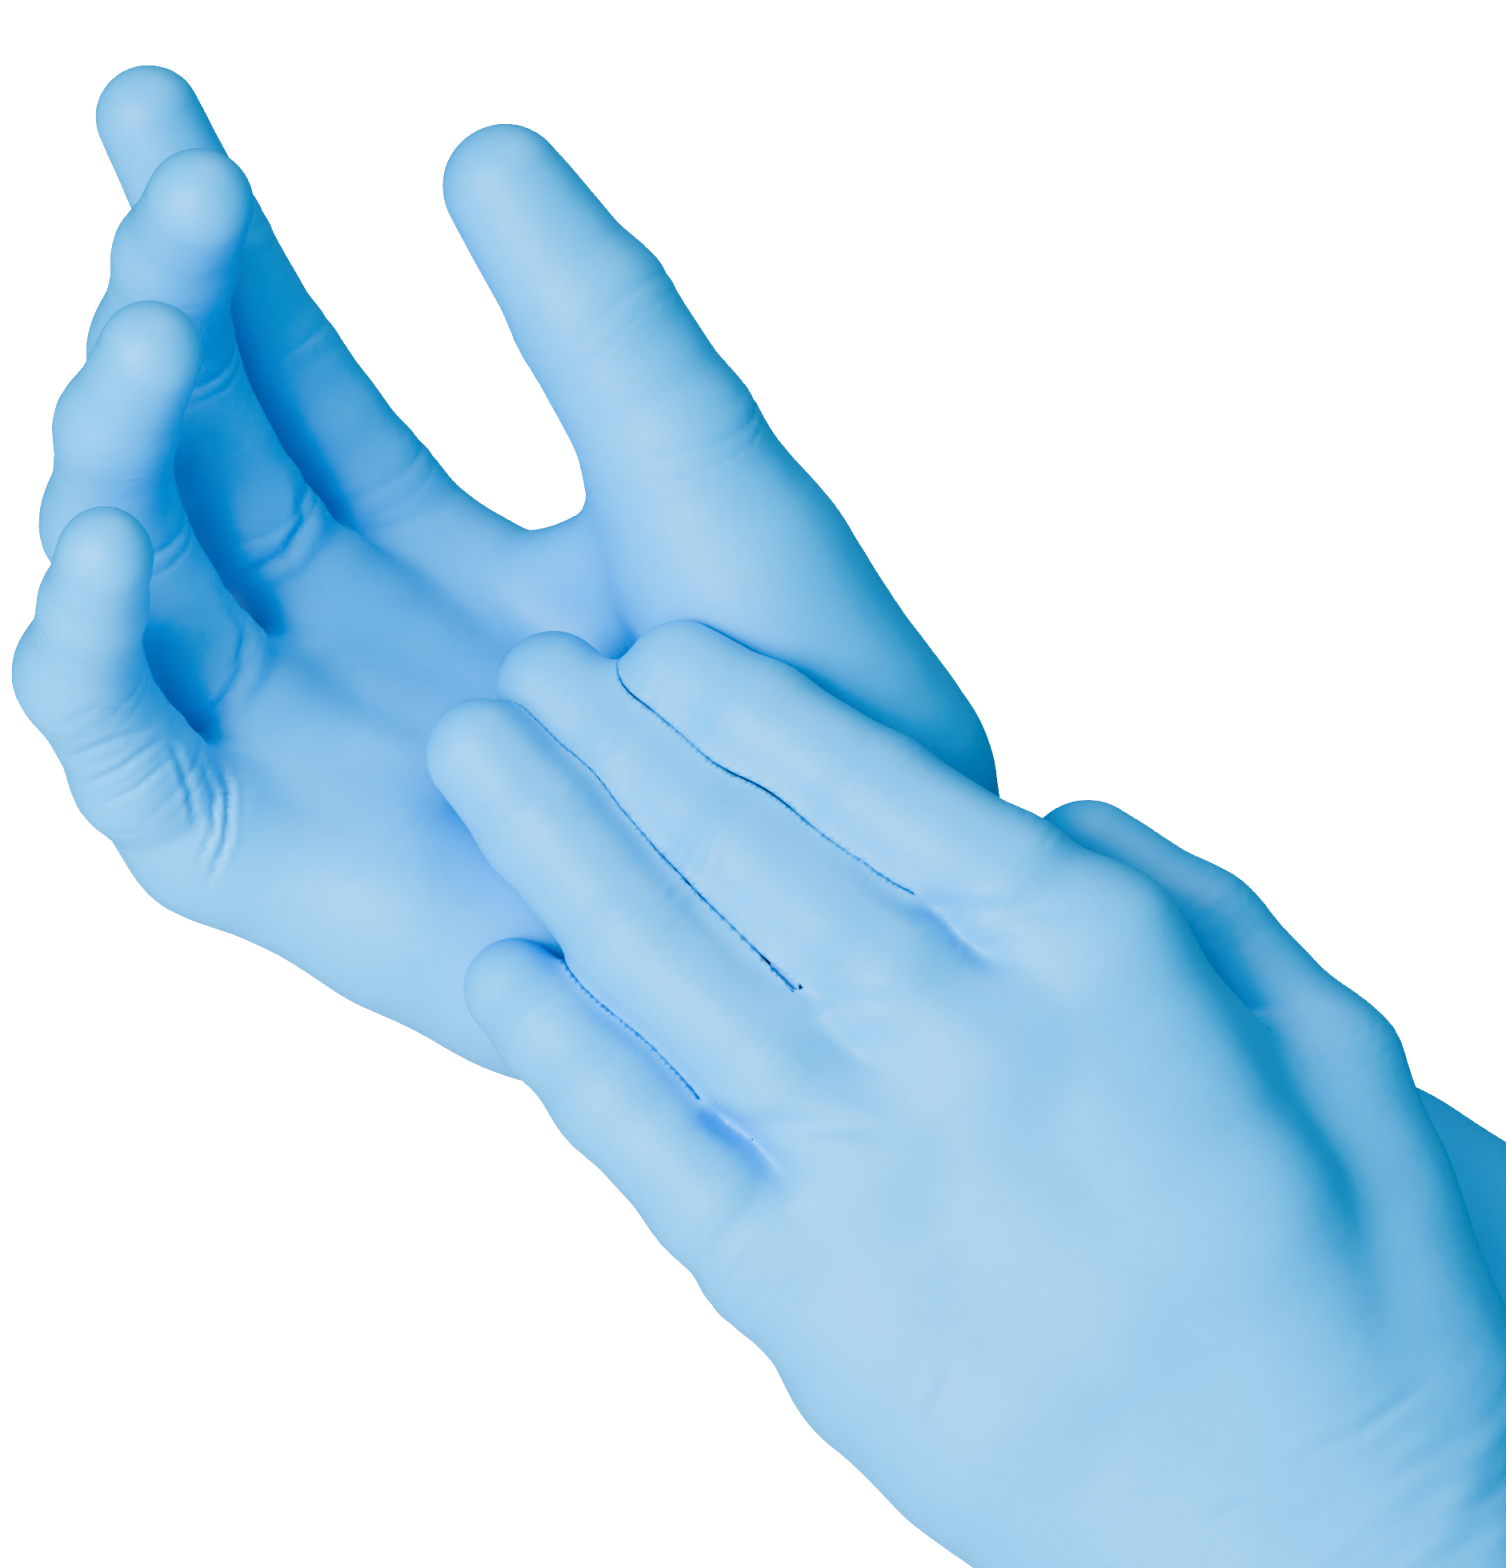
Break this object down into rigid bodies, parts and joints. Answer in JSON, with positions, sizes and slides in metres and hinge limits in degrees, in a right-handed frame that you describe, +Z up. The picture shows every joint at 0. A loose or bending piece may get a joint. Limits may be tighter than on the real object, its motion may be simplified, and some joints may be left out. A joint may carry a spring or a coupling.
{
  "type": "disposable glove pair",
  "caption": "Thin blue disposable gloves with long cuffs, worn shape: one open palm forward, the other resting across its wrist; fingers fold at their creases.",
  "frame": {"origin": "centre of the right glove's cuff opening, where the wearer's forearm enters", "axes": "+Z up, +X to the right of the viewer who sees the right palm, +Y away from that viewer; the gloves' reach is widest along Z and X and least along Y"},
  "size_m": [0.2741, 0.1334, 0.3148],
  "materials": {
    "glove_film": "smooth, slightly satin thin film, light sky blue",
    "glove_film_fold": "the same film where it folds, finely wrinkled",
    "glove_bead": "rolled film, denser blue, smooth"
  },
  "bodies": {
    "right_glove": {"right_palm_shell": "glove_film", "right_cuff": "glove_film", "right_cuff_bead": "glove_bead", "right_thumb_root_crease": "glove_film_fold", "right_index_root_crease": "glove_film_fold", "right_middle_root_crease": "glove_film_fold", "right_ring_root_crease": "glove_film_fold", "right_little_root_crease": "glove_film_fold"},
    "left_glove": {"left_palm_shell": "glove_film", "left_cuff": "glove_film", "left_cuff_bead": "glove_bead", "left_thumb_root_crease": "glove_film_fold", "left_index_root_crease": "glove_film_fold", "left_middle_root_crease": "glove_film_fold", "left_ring_root_crease": "glove_film_fold", "left_little_root_crease": "glove_film_fold"},
    "right_thumb_base": {"right_thumb_base_sleeve": "glove_film", "right_thumb_middle_crease": "glove_film_fold"},
    "right_thumb_end": {"right_thumb_fingertip": "glove_film"},
    "right_index_base": {"right_index_base_sleeve": "glove_film", "right_index_middle_crease": "glove_film_fold"},
    "right_index_end": {"right_index_fingertip": "glove_film"},
    "right_middle_base": {"right_middle_base_sleeve": "glove_film", "right_middle_middle_crease": "glove_film_fold"},
    "right_middle_end": {"right_middle_fingertip": "glove_film"},
    "right_ring_base": {"right_ring_base_sleeve": "glove_film", "right_ring_middle_crease": "glove_film_fold"},
    "right_ring_end": {"right_ring_fingertip": "glove_film"},
    "right_little_base": {"right_little_base_sleeve": "glove_film", "right_little_middle_crease": "glove_film_fold"},
    "right_little_end": {"right_little_fingertip": "glove_film"},
    "left_thumb_base": {"left_thumb_base_sleeve": "glove_film", "left_thumb_middle_crease": "glove_film_fold"},
    "left_thumb_end": {"left_thumb_fingertip": "glove_film"},
    "left_index_base": {"left_index_base_sleeve": "glove_film", "left_index_middle_crease": "glove_film_fold"},
    "left_index_end": {"left_index_fingertip": "glove_film"},
    "left_middle_base": {"left_middle_base_sleeve": "glove_film", "left_middle_middle_crease": "glove_film_fold"},
    "left_middle_end": {"left_middle_fingertip": "glove_film"},
    "left_ring_base": {"left_ring_base_sleeve": "glove_film", "left_ring_middle_crease": "glove_film_fold"},
    "left_ring_end": {"left_ring_fingertip": "glove_film"},
    "left_little_base": {"left_little_base_sleeve": "glove_film", "left_little_middle_crease": "glove_film_fold"},
    "left_little_end": {"left_little_fingertip": "glove_film"}
  },
  "joints": [
    {"name": "left_glove_lift_off", "type": "slide", "parent": "right_glove", "child": "left_glove", "axis": [0, -1, 0], "range_m": [0, 0.12]},
    {"name": "right_thumb_root_fold", "type": "hinge", "parent": "right_glove", "child": "right_thumb_base", "pos_m": [-0.1379, -0.037, 0.1446], "axis": [0.8567, -0.1759, 0.4848], "range_deg": [-15, 15], "deforming": ["right_thumb_root_crease"]},
    {"name": "right_thumb_middle_fold", "type": "hinge", "parent": "right_thumb_base", "child": "right_thumb_end", "pos_m": [-0.1492, -0.041, 0.1631], "axis": [0.8408, -0.182, 0.5099], "range_deg": [-20, 20], "deforming": ["right_thumb_middle_crease"]},
    {"name": "right_index_root_fold", "type": "hinge", "parent": "right_glove", "child": "right_index_base", "pos_m": [-0.1818, -0.006, 0.1401], "axis": [0.4369, 0.6799, 0.5889], "range_deg": [-25, 20], "deforming": ["right_index_root_crease"]},
    {"name": "right_index_middle_fold", "type": "hinge", "parent": "right_index_base", "child": "right_index_end", "pos_m": [-0.1944, -0.012, 0.1576], "axis": [0.3911, 0.6782, 0.6222], "range_deg": [-5, 30], "deforming": ["right_index_middle_crease"]},
    {"name": "right_middle_root_fold", "type": "hinge", "parent": "right_glove", "child": "right_middle_base", "pos_m": [-0.198, -0.024, 0.134], "axis": [0.4192, 0.6793, 0.6023], "range_deg": [-30, 20], "deforming": ["right_middle_root_crease"]},
    {"name": "right_middle_middle_fold", "type": "hinge", "parent": "right_middle_base", "child": "right_middle_end", "pos_m": [-0.2096, -0.033, 0.158], "axis": [0.5622, 0.5752, 0.5942], "range_deg": [-40, 20], "deforming": ["right_middle_middle_crease"]},
    {"name": "right_ring_root_fold", "type": "hinge", "parent": "right_glove", "child": "right_ring_base", "pos_m": [-0.204, -0.038, 0.1148], "axis": [0.3411, 0.6741, 0.6551], "range_deg": [-30, 20], "deforming": ["right_ring_root_crease"]},
    {"name": "right_ring_middle_fold", "type": "hinge", "parent": "right_ring_base", "child": "right_ring_end", "pos_m": [-0.2153, -0.049, 0.1335], "axis": [0.366, 0.619, 0.695], "range_deg": [-40, 25], "deforming": ["right_ring_middle_crease"]},
    {"name": "right_little_root_fold", "type": "hinge", "parent": "right_glove", "child": "right_little_base", "pos_m": [-0.211, -0.053, 0.0992], "axis": [0.079, 0.6198, 0.7808], "range_deg": [-30, 20], "deforming": ["right_little_root_crease"]},
    {"name": "right_little_middle_fold", "type": "hinge", "parent": "right_little_base", "child": "right_little_end", "pos_m": [-0.218, -0.068, 0.1128], "axis": [0.061, 0.5518, 0.8317], "range_deg": [-35, 25], "deforming": ["right_little_middle_crease"]},
    {"name": "left_thumb_root_fold", "type": "hinge", "parent": "left_glove", "child": "left_thumb_base", "pos_m": [-0.0483, -0.04, 0.057], "axis": [-0.498, -0.83, -0.251], "range_deg": [-25, 0], "deforming": ["left_thumb_root_crease"]},
    {"name": "left_thumb_middle_fold", "type": "hinge", "parent": "left_thumb_base", "child": "left_thumb_end", "pos_m": [-0.0659, -0.0345, 0.0756], "axis": [-0.436, -0.834, -0.338], "range_deg": [-15, 0], "deforming": ["left_thumb_middle_crease"]},
    {"name": "left_index_root_fold", "type": "hinge", "parent": "left_glove", "child": "left_index_base", "pos_m": [-0.0922, -0.064, 0.0834], "axis": [-0.5581, 0.032, -0.8292], "range_deg": [-30, 0], "deforming": ["left_index_root_crease"]},
    {"name": "left_index_middle_fold", "type": "hinge", "parent": "left_index_base", "child": "left_index_end", "pos_m": [-0.1101, -0.058, 0.0955], "axis": [-0.5412, 0.033, -0.8403], "range_deg": [-8, 0], "deforming": ["left_index_middle_crease"]},
    {"name": "left_middle_root_fold", "type": "hinge", "parent": "left_glove", "child": "left_middle_base", "pos_m": [-0.1082, -0.066, 0.0713], "axis": [-0.635, 0.026, -0.772], "range_deg": [-30, 0], "deforming": ["left_middle_root_crease"]},
    {"name": "left_middle_middle_fold", "type": "hinge", "parent": "left_middle_base", "child": "left_middle_end", "pos_m": [-0.1281, -0.056, 0.0879], "axis": [-0.6329, 0.026, -0.7738], "range_deg": [-15, 0], "deforming": ["left_middle_middle_crease"]},
    {"name": "left_ring_root_fold", "type": "hinge", "parent": "left_glove", "child": "left_ring_base", "pos_m": [-0.124, -0.065, 0.0596], "axis": [-0.6768, 0.022, -0.7358], "range_deg": [-30, 0], "deforming": ["left_ring_root_crease"]},
    {"name": "left_ring_middle_fold", "type": "hinge", "parent": "left_ring_base", "child": "left_ring_end", "pos_m": [-0.1423, -0.06, 0.0765], "axis": [-0.7174, 0.018, -0.6964], "range_deg": [-18, 0], "deforming": ["left_ring_middle_crease"]},
    {"name": "left_little_root_fold", "type": "hinge", "parent": "left_glove", "child": "left_little_base", "pos_m": [-0.1315, -0.064, 0.0411], "axis": [-0.713, 0.018, -0.701], "range_deg": [-30, 0], "deforming": ["left_little_root_crease"]},
    {"name": "left_little_middle_fold", "type": "hinge", "parent": "left_little_base", "child": "left_little_end", "pos_m": [-0.1455, -0.061, 0.0553], "axis": [-0.7189, 0.018, -0.6949], "range_deg": [-10, 0], "deforming": ["left_little_middle_crease"]}
  ]
}
